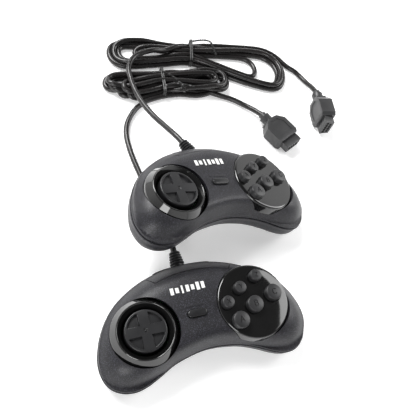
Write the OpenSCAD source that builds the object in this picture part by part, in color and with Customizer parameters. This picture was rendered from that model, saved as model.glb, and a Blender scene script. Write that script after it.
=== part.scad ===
// Pair of wired six-button game pads with coiled leads and nine-way plugs.
// Millimetres, +Z up. The origin is the centre of the front pad's base, on the table.
// Front pad parts are named b_..., rear pad parts a_...; both pads share the same modules.

/* [Pad] */
// Travel of the six face buttons
button_travel = 1.8; // [1.2:0.1:2.0]
// Radius of the three large face buttons
big_r = 5.35; // [4.8:0.05:5.6]
// Radius of the three small face buttons
small_r = 3.95; // [3.4:0.05:4.2]
// Radius of the direction disc
disc_r = 12.8; // [12:0.1:13]

/* [Leads] */
// Diameter of the round lead
lead_d = 4.2; // [3.6:0.1:4.6]

/* [Hidden] */
$fn = 64;
wall = 2.2;
part_z = 12.5;
crease_z = 14.6;
eps = 0.01;

// Half outline of a pad seen from above, from the rear middle to the front middle.
half = [
  [0, 38], [15, 37], [28, 33.8], [40, 28.5], [50, 21.5], [58, 12], [63.8, 0], [66.3, -13],
  [63.5, -24], [57, -29.8], [49, -30.8], [41, -28.3], [32, -23.8], [22, -19], [11, -16.5], [0, -15.5]
];
ctrl = concat(half, [for (i = [14 : -1 : 1]) [-half[i][0], half[i][1]]]);
nc = len(ctrl);
function cp(i) = ctrl[(i + nc) % nc];
function cr(a, b, c, d, t) =
  0.5 * (2 * b + (c - a) * t + (2 * a - 5 * b + 4 * c - d) * t * t + (3 * b - a - 3 * c + d) * t * t * t);
rim = [for (i = [0 : nc - 1], j = [0 : 2]) cr(cp(i - 1), cp(i), cp(i + 1), cp(i + 2), j / 3)];
nr = len(rim);
function along(i) = let (v = rim[(i + 1) % nr] - rim[(i + nr - 1) % nr]) v / norm(v);
function inward(i) = let (t = along(i)) [t[1], -t[0]];
function inset(d) = [for (i = [0 : nr - 1]) rim[i] + inward(i) * d];
function ring(d, z) = [for (p = inset(d)) [p[0], p[1], z]];

// Height of the top skin over a point: steep near the rim, flat in the middle, lower at the ends.
function near_rim(p) = -3.5 * ln(total([for (q = rim) exp(-norm(q - p) / 3.5)]));
function total(v, i = 0, s = 0) = i == len(v) ? s : total(v, i + 1, s + v[i]);
function skin_z(p) =
  let (d = max(0, near_rim(p) + 2.3))
  crease_z + 13.5 * (1 - exp(-d / 4.8)) - 2 * pow(p[0] / 66, 2) * (1 - exp(-d / 4));

skin_c = [0, 8];
steps = [0.975, 0.94, 0.9, 0.85, 0.79, 0.72, 0.63, 0.52, 0.38, 0.2];
function skin_ring(edge, s, drop) = [for (q = edge)
  let (p = skin_c + s * (q - skin_c)) [p[0], p[1], skin_z(p) - drop]];

// Closed solid through rings that run clockwise seen from above, lowest ring first.
module loft(rings, peak) {
  n = len(rings[0]);
  m = len(rings);
  pts = [for (r = rings, p = r) p];
  sides = [for (k = [0 : m - 2], i = [0 : n - 1]) for (f = [
    [k * n + i, k * n + (i + 1) % n, (k + 1) * n + (i + 1) % n],
    [k * n + i, (k + 1) * n + (i + 1) % n, (k + 1) * n + i]
  ]) f];
  base = [[for (i = [n - 1 : -1 : 0]) i]];
  flat_top = [[for (i = [0 : n - 1]) (m - 1) * n + i]];
  fan = [for (i = [0 : n - 1]) [(m - 1) * n + i, (m - 1) * n + (i + 1) % n, m * n]];
  polyhedron(
    points = is_undef(peak) ? pts : concat(pts, [peak]),
    faces = concat(base, sides, is_undef(peak) ? flat_top : fan),
    convexity = 8
  );
}

function boss_top(p) = min([for (a = [0 : 45 : 315]) skin_z(p + 2.9 * [cos(a), sin(a)])]) - 0.8;

module outer_top() {
  loft(
    concat([ring(0.5, part_z), ring(0, part_z + 0.6), ring(0.2, crease_z)],
      [for (s = steps) skin_ring(rim, s, 0)]),
    [skin_c[0], skin_c[1], skin_z(skin_c)]
  );
}

module inner_top() {
  inner = inset(wall);
  loft(
    concat([ring(wall, part_z - 1), ring(wall, crease_z - 0.6)],
      [for (s = [0.96, 0.88, 0.78, 0.65, 0.45, 0.2]) skin_ring(inner, s, wall)]),
    [skin_c[0], skin_c[1], skin_z(skin_c) - wall]
  );
}

module outer_bottom() {
  loft([ring(6.5, 0), ring(3.2, 0.7), ring(1.3, 2.5), ring(0.4, 5.2), ring(0, 9), ring(0, part_z - 0.6),
    ring(0.5, part_z)]);
}

module inner_bottom() {
  loft([ring(7.5, 2.2), ring(3.8, 3.2), ring(wall, 7.5), ring(wall, part_z + 1)]);
}

// Feature places in the pad's own frame.
pad_c = [-37, -1.6];
plate_c = [33.8, 2.8];
plate_z = 26.5;
plate_tilt = 5.7;
pin_z = 16.9;
start_c = [-4.2, 2.2];
start_top = skin_z(start_c) + 1.6;
relief_c = [-4.5, 0, 10.4];
posts = [[-56, -21], [56, -21], [-15, 24.5], [13, 24.5], [0, -7.5]];
buttons = [[-13.2, -11], [-0.9, -3], [13.9, 2.2], [-18.4, 1.2], [-7.7, 9.1], [5.1, 15.1]];

module on_plate() translate([plate_c[0], plate_c[1], plate_z]) rotate([0, plate_tilt, 0]) children();

// Solids that trim the shell where a bezel or the rear insert sits.
module bezel_cone() translate([pad_c[0], pad_c[1], 15.8]) cylinder(h = 22, r1 = 21, r2 = 15.5);
module plate_cone() on_plate() translate([0, 0, -7.3]) cylinder(h = 20, r1 = 26.1, r2 = 20.1);
module insert_bar() {
  intersection() {
    translate([0, 0, 5.5]) linear_extrude(height = 10) difference() {
      polygon(inset(-1.2));
      polygon(inset(3.2));
    }
    translate([-24, 20, 0]) cube([42, 30, 30]);
  }
}
module panel_area(g) {
  translate([0, 0, part_z]) linear_extrude(height = 30) polygon([
    [-31 + g, 46], [-28.6 + g, 32.8], [-24.6 + g, 27 + g], [-12, 30.3 + g], [0, 31.2 + g], [12, 30.3 + g],
    [24.6 - g, 27 + g], [28.6 - g, 32.8], [31 - g, 46]
  ]);
}
module pill(l, w, h) {
  translate([-(l - w) / 2, -w / 2, 0]) cube([l - w, w, h]);
  for (s = [-1, 1]) translate([s * (l - w) / 2, 0, 0]) cylinder(h = h, d = w);
}
module marks(z0, h) {
  for (i = [0 : 6]) {
    x = -16.2 + i * 3.35;
    w = i == 2 ? 1.4 : 2.5;
    d = 2.6 + 1.3 * ((i * 2) % 3);
    p = [x, 18.2 + 0.12 * i];
    translate([x - w / 2, p[1] - d / 2, skin_z(p) + z0]) cube([w, d, h]);
  }
}

module top_shell() {
  difference() {
    outer_top();
    inner_top();
    bezel_cone();
    plate_cone();
    insert_bar();
    panel_area(-0.15);
    translate([start_c[0], start_c[1], 15]) pill(12.9, 5.1, 20);
    marks(-0.5, 3);
  }
  for (p = posts) translate([p[0], p[1], part_z]) difference() {
    cylinder(h = boss_top(p) - part_z, r = 2.9);
    translate([0, 0, -1]) cylinder(h = 7, r = 1.25);
  }
}

module rear_panel() {
  difference() {
    intersection() {
      difference() {
        outer_top();
        inner_top();
      }
      panel_area(0.15);
    }
    insert_bar();
  }
}

module rear_insert() {
  difference() {
    insert_bar();
    translate([relief_c[0], 25, relief_c[2]]) rotate([-90, 0, 0]) cylinder(h = 25, r = 4.3);
  }
}

module bottom_shell() {
  difference() {
    outer_bottom();
    inner_bottom();
    insert_bar();
    for (p = posts) translate([p[0], p[1], -1]) cylinder(h = 5.2, r = 2.9);
  }
  for (p = posts) translate([p[0], p[1], 0]) difference() {
    translate([0, 0, 1]) cylinder(h = part_z - 1, r = 4.3);
    translate([0, 0, -1]) cylinder(h = 5.2, r = 2.9);
    translate([0, 0, -1]) cylinder(h = 20, r = 1.6);
  }
  // Post that carries the direction disc's pivot.
  translate([pad_c[0], pad_c[1], 1.5]) {
    cylinder(h = pin_z - 5, r = 5);
    for (s = [-1, 1]) translate([s * 3.9 - 0.7, -1.8, pin_z - 5.5]) difference() {
      cube([1.4, 3.6, 5.6]);
      translate([-1, 1.8, 4]) rotate([0, 90, 0]) cylinder(h = 4, r = 0.9);
    }
  }
}

module housing_screws() {
  for (p = posts) translate([p[0], p[1], 2.6]) difference() {
    union() {
      cylinder(h = 1.6, r = 2.4);
      cylinder(h = 13.5, r = 1.25);
    }
    for (a = [0, 90]) rotate([0, 0, a]) translate([-1.4, -0.3, -0.1]) cube([2.8, 0.6, 0.9]);
  }
}

module dpad_bezel() {
  translate([pad_c[0], pad_c[1], 0]) rotate_extrude() polygon([
    [21, 15.8], [17.75, 28.8], [17.5, 29.1], [17, 29.1], [14.2, 25.9], [14.2, 19.6], [15.6, 19.6],
    [15.6, 24.6], [16.4, 25.6], [18.8, 15.8]
  ]);
}

module dpad_ears() {
  for (s = [-1, 1]) translate([-1.5, s * 4.1 - 0.7, -1.3]) difference() {
    cube([3, 1.4, 5]);
    translate([1.5, -1, 1.3]) rotate([-90, 0, 0]) cylinder(h = 4, r = 0.9);
  }
}

module dpad() {
  translate([pad_c[0], pad_c[1], pin_z]) {
    difference() {
      union() {
        translate([0, 0, 3]) cylinder(h = 8.6, r = disc_r);
        translate([0, 0, 11.6]) cylinder(h = 0.7, r1 = disc_r, r2 = disc_r - 0.7);
        translate([0, 0, 12.3]) cylinder(h = 0.3, r1 = disc_r - 0.7, r2 = disc_r - 1.5);
      }
      for (a = [0 : 90 : 270]) rotate([0, 0, a]) translate([3.1, 3.1, 11.3]) intersection() {
        cube([10, 10, 4]);
        translate([-3.1, -3.1, 0]) cylinder(h = 4, r = disc_r - 1.3);
      }
      translate([0, 0, 12.9]) sphere(r = 1.7);
    }
    translate([0, 0, 11.5]) sphere(r = 0.8);
    dpad_ears();
  }
}

module dpad_pivot() {
  translate([pad_c[0], pad_c[1], pin_z]) {
    cube([4.2, 4.2, 2.4], center = true);
    rotate([0, 90, 0]) cylinder(h = 9.4, r = 0.85, center = true);
    rotate([90, 0, 0]) cylinder(h = 9.8, r = 0.85, center = true);
  }
}

module dpad_mat() {
  translate([pad_c[0], pad_c[1], 9.6]) difference() {
    union() {
      cylinder(h = 1.2, r = 13.5);
      for (a = [0 : 90 : 270]) rotate([0, 0, a]) translate([9, 0, 0]) {
        cylinder(h = 5, r1 = 3.4, r2 = 2.8);
        cylinder(h = 8.6, r = 1.9);
      }
    }
    translate([0, 0, -1]) cylinder(h = 4, r = 5.6);
  }
}

module button_plate() {
  on_plate() difference() {
    rotate_extrude() polygon([
      [0, 0], [23.4, 0], [23.94, -0.1], [24.12, -0.7], [26.1, -7.3], [24.7, -7.3], [23.3, -2.4], [0, -2.4]
    ]);
    for (i = [0 : 5]) translate([buttons[i][0], buttons[i][1], -5])
      cylinder(h = 8, r = (i < 3 ? big_r : small_r) + 0.3);
  }
}

module face_button(i) {
  r = i < 3 ? big_r : small_r;
  on_plate() translate([buttons[i][0], buttons[i][1], 0]) difference() {
    union() {
      intersection() {
        translate([0, 0, -3.9]) cylinder(h = 8.2, r = r);
        translate([0, 0, 4.3 - 22]) sphere(r = 22, $fn = 128);
      }
      translate([0, 0, -3.9]) cylinder(h = 1.2, r = r + 0.6);
    }
    translate([0, 0, 3.85]) scale(i < 3 ? 1 : 0.76) letter(i);
  }
}

// Debossed letters made of short bars: 0 A, 1 B, 2 C, 3 X, 4 Y, 5 Z.
module bar(a, b) {
  v = b - a;
  translate([a[0], a[1], 0]) rotate([0, 0, atan2(v[1], v[0])]) translate([-0.2, -0.2, 0])
    cube([norm(v) + 0.4, 0.4, 1]);
}
module path(p) {
  for (k = [0 : len(p) - 2]) bar(p[k], p[k + 1]);
}
module letter(i) {
  if (i == 0) { path([[-1.3, -1.7], [0, 1.7], [1.3, -1.7]]); bar([-0.8, -0.5], [0.8, -0.5]); }
  if (i == 1) path([[-1.1, 0.1], [0.7, 0.1], [1.1, -0.4], [1.1, -1.2], [0.6, -1.7], [-1.1, -1.7], [-1.1, 1.7],
    [0.5, 1.7], [0.9, 1.3], [0.9, 0.6], [0.6, 0.1]]);
  if (i == 2) path([[1.2, 1.2], [0.6, 1.7], [-0.5, 1.7], [-1.2, 0.9], [-1.2, -0.9], [-0.5, -1.7], [0.6, -1.7],
    [1.2, -1.2]]);
  if (i == 3) { bar([-1.3, -1.7], [1.3, 1.7]); bar([-1.3, 1.7], [1.3, -1.7]); }
  if (i == 4) { path([[-1.3, 1.7], [0, 0.1], [1.3, 1.7]]); bar([0, 0.1], [0, -1.7]); }
  if (i == 5) path([[-1.2, 1.7], [1.2, 1.7], [-1.2, -1.7], [1.2, -1.7]]);
}

module button_mat() {
  translate([0, 0, 9.6]) linear_extrude(height = 1.2)
    polygon([[10, -12], [28, -15], [44, -10], [49, 4], [47, 14], [37, 22], [20, 18], [9, 8]]);
  for (i = [0 : 5]) {
    x = plate_c[0] + buttons[i][0];
    top = plate_z - 0.1 * buttons[i][0] - 6.7;
    translate([x - 0.5, plate_c[1] + buttons[i][1], 9.6]) {
      cylinder(h = 3.4, r1 = 3.6, r2 = 3);
      cylinder(h = top - 9.6, r = 2.2);
    }
  }
}

module start_button() {
  translate([start_c[0], start_c[1], 0]) {
    translate([0, 0, 19]) pill(12.3, 4.5, start_top - 19.4);
    translate([0, 0, start_top - 0.6]) pill(11.7, 3.9, 0.6);
    translate([0, 0, start_top - 7.2]) pill(15, 7, 1.4);
  }
}

module start_mat() {
  translate([start_c[0], start_c[1], 9.6]) {
    pill(12, 7, 1.2);
    for (s = [-1, 1]) translate([s * 3, 0, 0]) cylinder(h = 7.2, r1 = 2.6, r2 = 2);
  }
}

module front_mark() marks(-0.5, 0.65);

module circuit_board() {
  translate([0, 0, 8]) linear_extrude(height = 1.6) difference() {
    polygon([[-52, -8], [-47, -20], [-36, -22], [-20, -12.8], [20, -12.8], [36, -19], [46, -20], [52, -8],
      [50, 8], [38, 22], [20, 29], [-20, 29], [-38, 22], [-50, 8]]);
    for (p = posts) translate(p) circle(r = 4.6);
    translate(pad_c) circle(r = 5.3);
  }
}

module board_parts() {
  translate([4, 15, 9.6]) intersection() {
    cylinder(h = 3, r = 6);
    translate([0, 0, -6.5]) sphere(r = 8.9);
  }
  for (k = [0 : 3]) translate([-20.5 + 3.2 * k, -6, 9.6]) cube([2, 3.4, 1.1]);
  translate([-18, 16, 9.6]) cylinder(h = 6.5, r = 2.6);
  for (k = [0 : 4]) translate([relief_c[0] - 5 + 2.5 * k, 22, 9.6]) cylinder(h = 1.6, r = 0.7);
}

// Boot from the rear insert to the lead: a smooth neck, then ribs, bent sideways by turn degrees.
module strain_relief(turn = 0) {
  translate(relief_c) {
    translate([0, 32.8, 0]) rotate([-90, 0, 0]) {
      cylinder(h = 1.8, r = 5);
      cylinder(h = 6.8, r = 4.25);
    }
    translate([0, 39.6, 0]) rotate([0, 0, turn]) rotate([-90, 0, 0]) rotate_extrude() polygon([
      [0, -2.5], [3.4, -2.5], [3.9, 0], [3.9, 1.6], [4.7, 1.8], [4.7, 2.6], [3.7, 2.6], [3.7, 3.2], [4.4, 3.2],
      [4.4, 4.2], [3.5, 4.2], [3.5, 4.9], [4.1, 4.9], [4.1, 6], [3.3, 6], [3.3, 6.8], [3.8, 6.8], [3.8, 8],
      [3.1, 8], [3.1, 8.8], [3.5, 8.8], [3.5, 10.8], [0, 10.8]
    ]);
  }
}

// Where the rear pad lies: its left front leans on the front pad's boot, its right edge on the table.
module lay_rear() translate([27, 77, 15.3]) rotate([-3.1, 15.2, 3.2]) children();

// Lead routes on the table: hand-set points, then smooth curves through them.
lead_r = lead_d / 2;
low = lead_r + 0.05;
b_lead_pts = [
  [-4.5, 50.4, 10.4], [-4.6, 58, 10.1], [-5.4, 68, 7.5], [-7, 80, 4], [-8.8, 93, low], [-10.6, 108, low],
  [-13, 122, low], [-15, 137, low], [-15.3, 152, low], [-12.5, 163.5, low], [-6, 173.5, low], [2, 180.5, low],
  [15, 187.2, low]
];
b_tail_pts = [
  [58, 187.6, low], [69, 182.4, low], [79, 177, low], [87, 170, 2.7], [93, 162.6, 4.6], [97, 156.5, 6.1]
];
a_lead_pts = [
  [18.32, 126.83, 24.87], [15.8, 133, 24], [11, 145, 20.3], [6, 157, 16.8], [1.2, 171, 14], [-1.8, 185, 12],
  [-3, 198, 11.2], [-2.2, 211, 11.2], [4.5, 221.5, 11.1], [16, 226.5, 11], [29, 228.5, 10.8]
];
a_tail_pts = [
  [138.5, 207, low], [144, 203, low], [148.5, 195, low], [150.8, 186, 4], [151.5, 178, 7.6],
  [151.5, 170.5, 10.4]
];
function route(p, per) = [for (i = [0 : len(p) - 2], j = [0 : per - 1])
  let (a = i > 0 ? p[i - 1] : 2 * p[0] - p[1], d = i + 2 < len(p) ? p[i + 2] : 2 * p[i + 1] - p[i])
  cr(a, p[i], p[i + 1], d, j / per), p[len(p) - 1]];
module lead(p, per) {
  q = route(p, per);
  n = len(q);
  rings = [for (k = [0 : n - 1])
    let (t0 = q[min(k + 1, n - 1)] - q[max(k - 1, 0)], t = t0 / norm(t0),
      s0 = cross(t, [0, 0, 1]), s = s0 / norm(s0), u = cross(s, t))
    [for (a = [0 : 45 : 315]) q[k] + lead_r * (cos(a) * s + sin(a) * u)]];
  loft_tube(rings);
}
module loft_tube(rings) {
  n = 8;
  m = len(rings);
  polyhedron(
    points = [for (r = rings, p = r) p],
    faces = concat([[for (i = [0 : n - 1]) i]], [[for (i = [n - 1 : -1 : 0]) (m - 1) * n + i]],
      [for (k = [0 : m - 2], i = [0 : n - 1]) for (f = [
        [k * n + i, (k + 1) * n + (i + 1) % n, k * n + (i + 1) % n],
        [k * n + i, (k + 1) * n + i, (k + 1) * n + (i + 1) % n]
      ]) f]),
    convexity = 10
  );
}

// Outer shapes of the bundled leads, each pinched in the middle by a twisted tie.
hank_h = 8.6;
b_hank_edge = [
  [-25, 209], [-25.5, 202], [-22, 193], [-16, 186.5], [-6, 185], [22, 188], [45, 188.5], [60, 187.3],
  [74, 185.5], [80, 187], [79.5, 191], [74, 198], [66, 203], [50, 205.5], [26, 208.5], [5, 211],
  [-14, 213], [-22, 212.5]
];
a_hank_edge = [
  [-8, 248], [-14, 243], [-16, 234], [-14.5, 222], [-6, 218], [20, 219.5], [52, 216.5], [74, 212],
  [88, 199], [98, 184], [108, 178.5], [122, 181], [133, 187], [138.5, 197], [140, 210], [138, 222],
  [128, 226.5], [104, 229], [75, 234], [57, 237], [30, 243], [8, 247.5]
];
module bundle(edge) linear_extrude(height = hank_h) polygon(edge);

// Flat wire tie over the top and down both sides of a bundle of width w.
module tie(c, turn, w) {
  translate([c[0], c[1], 0]) rotate([0, 0, turn]) translate([-0.9, -w / 2 - 0.8, 0]) difference() {
    cube([1.8, w + 1.6, hank_h + 0.7]);
    translate([-1, 0.8, -1]) cube([4, w, hank_h + 1]);
  }
}

// Nine-way plug, face along +X, origin where the lead enters.
module plug_body() {
  difference() {
    union() {
      rotate([0, 90, 0]) cylinder(h = 3, r = 3.1);
      translate([3, 0, 0]) rotate([0, 90, 0]) cylinder(h = 5.5, r1 = 4.6, r2 = 4.2);
      translate([8.4, 0, 0]) rotate([90, 0, 90]) linear_extrude(height = 1.6)
        polygon([[-6, -4], [6, -4], [6, 4], [-6, 4]]);
      translate([0, 0, -5.9]) linear_extrude(height = 11.8)
        polygon([[9.5, -5.5], [15, -10.3], [28, -10.3], [30.5, -8.6], [30.5, 8.6], [28, 10.3], [15, 10.3],
          [9.5, 5.5]]);
    }
    for (s = [-1, 1]) translate([0, 0, s > 0 ? 5.3 : -6.3]) linear_extrude(height = 1)
      polygon([[12, -3.4], [16, -7], [26.5, -7], [26.5, 7], [16, 7], [12, 3.4]]);
    translate([26, -6.9, -2.9]) cube([10, 13.8, 5.8]);
  }
}
module nose_shape(g) {
  polygon([[-8.1 + g, 3.6 - g], [-7.6 + g, 3.9 - g], [7.6 - g, 3.9 - g], [8.1 - g, 3.6 - g],
    [7 - g, -3.9 + g], [-7 + g, -3.9 + g]]);
}
module nine() {
  for (k = [-2 : 2]) translate([k * 2.77, 1.42, 0]) children();
  for (k = [-1.5 : 1.5]) translate([k * 2.77, -1.42, 0]) children();
}
module plug_nose() {
  difference() {
    union() {
      translate([30.5, 0, 0]) rotate([90, 0, 90]) linear_extrude(height = 6.5) nose_shape(0);
      translate([26, -6.9, -2.9]) cube([4.6, 13.8, 5.8]);
    }
    translate([28, 0, 0]) rotate([90, 0, 90]) nine() cylinder(h = 10, r = 0.85);
  }
}
module plug_contacts() {
  translate([28, 0, 0]) rotate([90, 0, 90]) nine() difference() {
    cylinder(h = 7.6, r = 0.85);
    translate([0, 0, 2]) cylinder(h = 7, r = 0.53);
  }
}
module at_b_plug() translate([97, 156.5, 6.1]) rotate([0, 0, -63]) children();
module at_a_plug() translate([151.5, 170.5, 10.4]) rotate([0, 0, -97]) rotate([90, 0, 0]) children();

shell_c = [0.15, 0.145, 0.165];
gloss_c = [0.02, 0.02, 0.022];
key_c = [0.14, 0.14, 0.145];
rubber_c = [0.07, 0.07, 0.07];
board_c = [0.1, 0.3, 0.14];
metal_c = [0.72, 0.7, 0.62];
mark_c = [0.92, 0.92, 0.9];

module b_top_shell() color(shell_c) top_shell();
module b_bottom_shell() color(shell_c) bottom_shell();
module b_rear_panel() color(shell_c) rear_panel();
module b_rear_insert() color(gloss_c) rear_insert();
module b_housing_screws() color(metal_c) housing_screws();
module b_dpad_bezel() color(gloss_c) dpad_bezel();
module b_dpad() color(key_c) dpad();
module b_dpad_pivot() color(key_c) dpad_pivot();
module b_dpad_mat() color(rubber_c) dpad_mat();
module b_button_plate() color(gloss_c) button_plate();
module b_button_a() color(key_c) face_button(0);
module b_button_b() color(key_c) face_button(1);
module b_button_c() color(key_c) face_button(2);
module b_button_x() color(key_c) face_button(3);
module b_button_y() color(key_c) face_button(4);
module b_button_z() color(key_c) face_button(5);
module b_button_mat() color(rubber_c) button_mat();
module b_start_button() color(key_c) start_button();
module b_start_mat() color(rubber_c) start_mat();
module b_front_mark() color(mark_c) front_mark();
module b_circuit_board() color(board_c) circuit_board();
module b_board_parts() color(rubber_c) board_parts();
module b_strain_relief() color(rubber_c) strain_relief();
module b_lead() color(rubber_c) lead(b_lead_pts, 2);
module b_hank() color(rubber_c) bundle(b_hank_edge);
module b_tail() color(rubber_c) lead(b_tail_pts, 3);
module b_tie() color(gloss_c) tie([23.5, 198.5], -6, 21.4);
module b_plug_body() color(rubber_c) at_b_plug() plug_body();
module b_plug_nose() color(rubber_c) at_b_plug() plug_nose();
module b_plug_contacts() color(metal_c) at_b_plug() plug_contacts();

module a_top_shell() color(shell_c) lay_rear() top_shell();
module a_bottom_shell() color(shell_c) lay_rear() bottom_shell();
module a_rear_panel() color(shell_c) lay_rear() rear_panel();
module a_rear_insert() color(gloss_c) lay_rear() rear_insert();
module a_housing_screws() color(metal_c) lay_rear() housing_screws();
module a_dpad_bezel() color(gloss_c) lay_rear() dpad_bezel();
module a_dpad() color(key_c) lay_rear() dpad();
module a_dpad_pivot() color(key_c) lay_rear() dpad_pivot();
module a_dpad_mat() color(rubber_c) lay_rear() dpad_mat();
module a_button_plate() color(gloss_c) lay_rear() button_plate();
module a_button_a() color(key_c) lay_rear() face_button(0);
module a_button_b() color(key_c) lay_rear() face_button(1);
module a_button_c() color(key_c) lay_rear() face_button(2);
module a_button_x() color(key_c) lay_rear() face_button(3);
module a_button_y() color(key_c) lay_rear() face_button(4);
module a_button_z() color(key_c) lay_rear() face_button(5);
module a_button_mat() color(rubber_c) lay_rear() button_mat();
module a_start_button() color(key_c) lay_rear() start_button();
module a_start_mat() color(rubber_c) lay_rear() start_mat();
module a_front_mark() color(mark_c) lay_rear() front_mark();
module a_circuit_board() color(board_c) lay_rear() circuit_board();
module a_board_parts() color(rubber_c) lay_rear() board_parts();
module a_strain_relief() color(rubber_c) lay_rear() strain_relief(20);
module a_lead() color(rubber_c) lead(a_lead_pts, 2);
module a_hank() color(rubber_c) bundle(a_hank_edge);
module a_tail() color(rubber_c) lead(a_tail_pts, 3);
module a_tie() color(gloss_c) tie([54.5, 227], -13, 21.2);
module a_plug_body() color(rubber_c) at_a_plug() plug_body();
module a_plug_nose() color(rubber_c) at_a_plug() plug_nose();
module a_plug_contacts() color(metal_c) at_a_plug() plug_contacts();

b_top_shell();
b_bottom_shell();
b_rear_panel();
b_rear_insert();
b_housing_screws();
b_dpad_bezel();
b_dpad();
b_dpad_pivot();
b_dpad_mat();
b_button_plate();
b_button_a();
b_button_b();
b_button_c();
b_button_x();
b_button_y();
b_button_z();
b_button_mat();
b_start_button();
b_start_mat();
b_front_mark();
b_circuit_board();
b_board_parts();
b_strain_relief();
b_lead();
b_hank();
b_tail();
b_tie();
b_plug_body();
b_plug_nose();
b_plug_contacts();
a_top_shell();
a_bottom_shell();
a_rear_panel();
a_rear_insert();
a_housing_screws();
a_dpad_bezel();
a_dpad();
a_dpad_pivot();
a_dpad_mat();
a_button_plate();
a_button_a();
a_button_b();
a_button_c();
a_button_x();
a_button_y();
a_button_z();
a_button_mat();
a_start_button();
a_start_mat();
a_front_mark();
a_circuit_board();
a_board_parts();
a_strain_relief();
a_lead();
a_hank();
a_tail();
a_tie();
a_plug_body();
a_plug_nose();
a_plug_contacts();
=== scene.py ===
import math
import bpy
import bmesh
import numpy as np
from mathutils import Matrix, Vector


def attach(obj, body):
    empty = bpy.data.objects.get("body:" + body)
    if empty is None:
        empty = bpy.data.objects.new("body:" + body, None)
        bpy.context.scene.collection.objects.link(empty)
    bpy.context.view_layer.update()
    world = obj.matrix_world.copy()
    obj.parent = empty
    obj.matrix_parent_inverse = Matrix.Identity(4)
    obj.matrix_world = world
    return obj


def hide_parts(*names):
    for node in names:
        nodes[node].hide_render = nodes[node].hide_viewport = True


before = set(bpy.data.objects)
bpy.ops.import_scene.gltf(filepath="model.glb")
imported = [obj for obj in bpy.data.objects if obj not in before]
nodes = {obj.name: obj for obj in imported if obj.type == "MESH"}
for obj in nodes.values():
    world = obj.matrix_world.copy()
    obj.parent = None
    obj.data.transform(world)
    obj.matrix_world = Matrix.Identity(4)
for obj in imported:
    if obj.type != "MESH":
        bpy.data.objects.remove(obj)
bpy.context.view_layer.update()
MM = 0.001

# ---------------------------------------------------------------- camera
right = Vector((0.9423, -0.2659, 0.2036)).normalized()
back = -Vector((0.2998, 0.3983, -0.8669)).normalized()
up = back.cross(right).normalized()
back = right.cross(up)
cam_data = bpy.data.cameras.new("cam")
cam_data.sensor_width = 36
cam_data.lens = 36 * 520 / 420
cam_data.clip_start, cam_data.clip_end = 0.01, 20
cam = bpy.data.objects.new("cam", cam_data)
bpy.context.scene.collection.objects.link(cam)
place = Matrix((right, up, back)).transposed().to_4x4()
place.translation = Vector((-82.2, -70.7, 331.4)) * MM
cam.matrix_world = place
bpy.context.scene.camera = cam

# Where each pad lies, in millimetres: b is the front pad, a the rear one.
LAY = {
    "b": Matrix.Identity(4),
    "a": Matrix.Translation((27, 77, 15.3))
    @ Matrix.Rotation(math.radians(3.2), 4, "Z")
    @ Matrix.Rotation(math.radians(15.2), 4, "Y")
    @ Matrix.Rotation(math.radians(-3.1), 4, "X"),
}
ROOT = {"b": "front_pad", "a": "rear_pad"}


# ---------------------------------------------------------------- mesh helpers
def moved(v, m):
    m = np.array(m)
    return np.asarray(v, float) @ m[:3, :3].T + m[:3, 3]


def put(name, verts, faces, mat, body, slot, replaces=(), k=None, sharp=32):
    v = np.asarray(verts, float)
    if k:
        v = moved(v, LAY[k])
    me = bpy.data.meshes.new(name)
    me.from_pydata((v * MM).tolist(), [], [list(f) for f in faces])
    bm = bmesh.new()
    bm.from_mesh(me)
    bmesh.ops.remove_doubles(bm, verts=bm.verts, dist=2e-6)
    bmesh.ops.dissolve_degenerate(bm, edges=bm.edges, dist=1e-6)
    bmesh.ops.recalc_face_normals(bm, faces=bm.faces)
    for e in bm.edges:
        e.smooth = not (len(e.link_faces) == 2 and e.calc_face_angle(0) > math.radians(sharp))
    for f in bm.faces:
        f.smooth = True
    bm.to_mesh(me)
    bm.free()
    ob = bpy.data.objects.new(name, me)
    bpy.context.scene.collection.objects.link(ob)
    me.materials.append(mat)
    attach(ob, body)
    if replaces:
        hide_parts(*replaces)
    return ob


def loft(rings, cap=(True, True), closed=True):
    n = len(rings[0])
    pts = np.concatenate([np.asarray(r, float) for r in rings])
    faces = []
    for k in range(len(rings) - 1):
        for i in range(n if closed else n - 1):
            j = (i + 1) % n
            faces.append((k * n + i, k * n + j, (k + 1) * n + j, (k + 1) * n + i))
    if cap[0]:
        faces.append(tuple(range(n - 1, -1, -1)))
    if cap[1]:
        faces.append(tuple((len(rings) - 1) * n + i for i in range(n)))
    return pts, faces


def lathe(profile, n=128, closed=False):
    """Rings of a profile of (radius, height) round Z. A radius of 0 at an end closes it."""
    a = np.arange(n) * 2 * math.pi / n
    pts, rows = [], []
    for r, z in profile:
        if r < 1e-6:
            rows.append([len(pts)] * n)
            pts.append((0, 0, z))
        else:
            rows.append(list(range(len(pts), len(pts) + n)))
            pts += [(r * math.cos(t), r * math.sin(t), z) for t in a]
    faces = []
    m = len(rows)
    for k in range(m if closed else m - 1):
        p, q = rows[k], rows[(k + 1) % m]
        for i in range(n):
            j = (i + 1) % n
            f = [p[i], p[j], q[j], q[i]]
            f = [x for x, y in zip(f, f[1:] + f[:1]) if x != y]
            if len(f) > 2:
                faces.append(tuple(f))
    return np.array(pts, float), faces


def block(x0, y0, z0, x1, y1, z1):
    v = np.array([(x, y, z) for z in (z0, z1) for x, y in ((x0, y0), (x1, y0), (x1, y1), (x0, y1))], float)
    return v, [(3, 2, 1, 0), (4, 5, 6, 7), (0, 1, 5, 4), (1, 2, 6, 5), (2, 3, 7, 6), (3, 0, 4, 7)]


def rod(r, z0, z1, at=(0, 0), n=48, r2=None):
    a = np.arange(n) * 2 * math.pi / n
    ring = lambda r, z: np.stack([at[0] + r * np.cos(a), at[1] + r * np.sin(a), np.full(n, z)], 1)
    return loft([ring(r, z0), ring(r if r2 is None else r2, z1)])


def prism(outline, z0, z1):
    o = np.asarray(outline, float)
    return loft([np.c_[o, np.full(len(o), z0)], np.c_[o, np.full(len(o), z1)]])


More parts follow.
